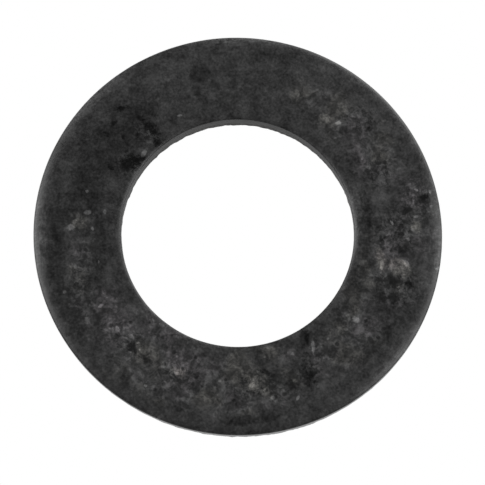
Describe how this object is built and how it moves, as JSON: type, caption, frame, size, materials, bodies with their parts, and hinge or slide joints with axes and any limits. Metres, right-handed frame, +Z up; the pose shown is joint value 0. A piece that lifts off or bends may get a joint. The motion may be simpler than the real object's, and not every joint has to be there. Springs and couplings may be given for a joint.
{
  "type": "flat washer",
  "caption": "Plain flat round washer in scaled hardened steel, spreading a bolt head's or nut's load over the joint.",
  "frame": {"origin": "centre of the hole, on the lower face (the face with the torn, burr side edges)", "axes": "+Z up the hole's axis, towards the upper face with the rolled-over edges; X and Y lie in the plate and are equivalent"},
  "size_m": [0.0508, 0.0508, 0.0035],
  "materials": {
    "scaled_steel": "matte"
  },
  "bodies": {
    "root": {"washer": "scaled_steel"}
  },
  "joints": []
}
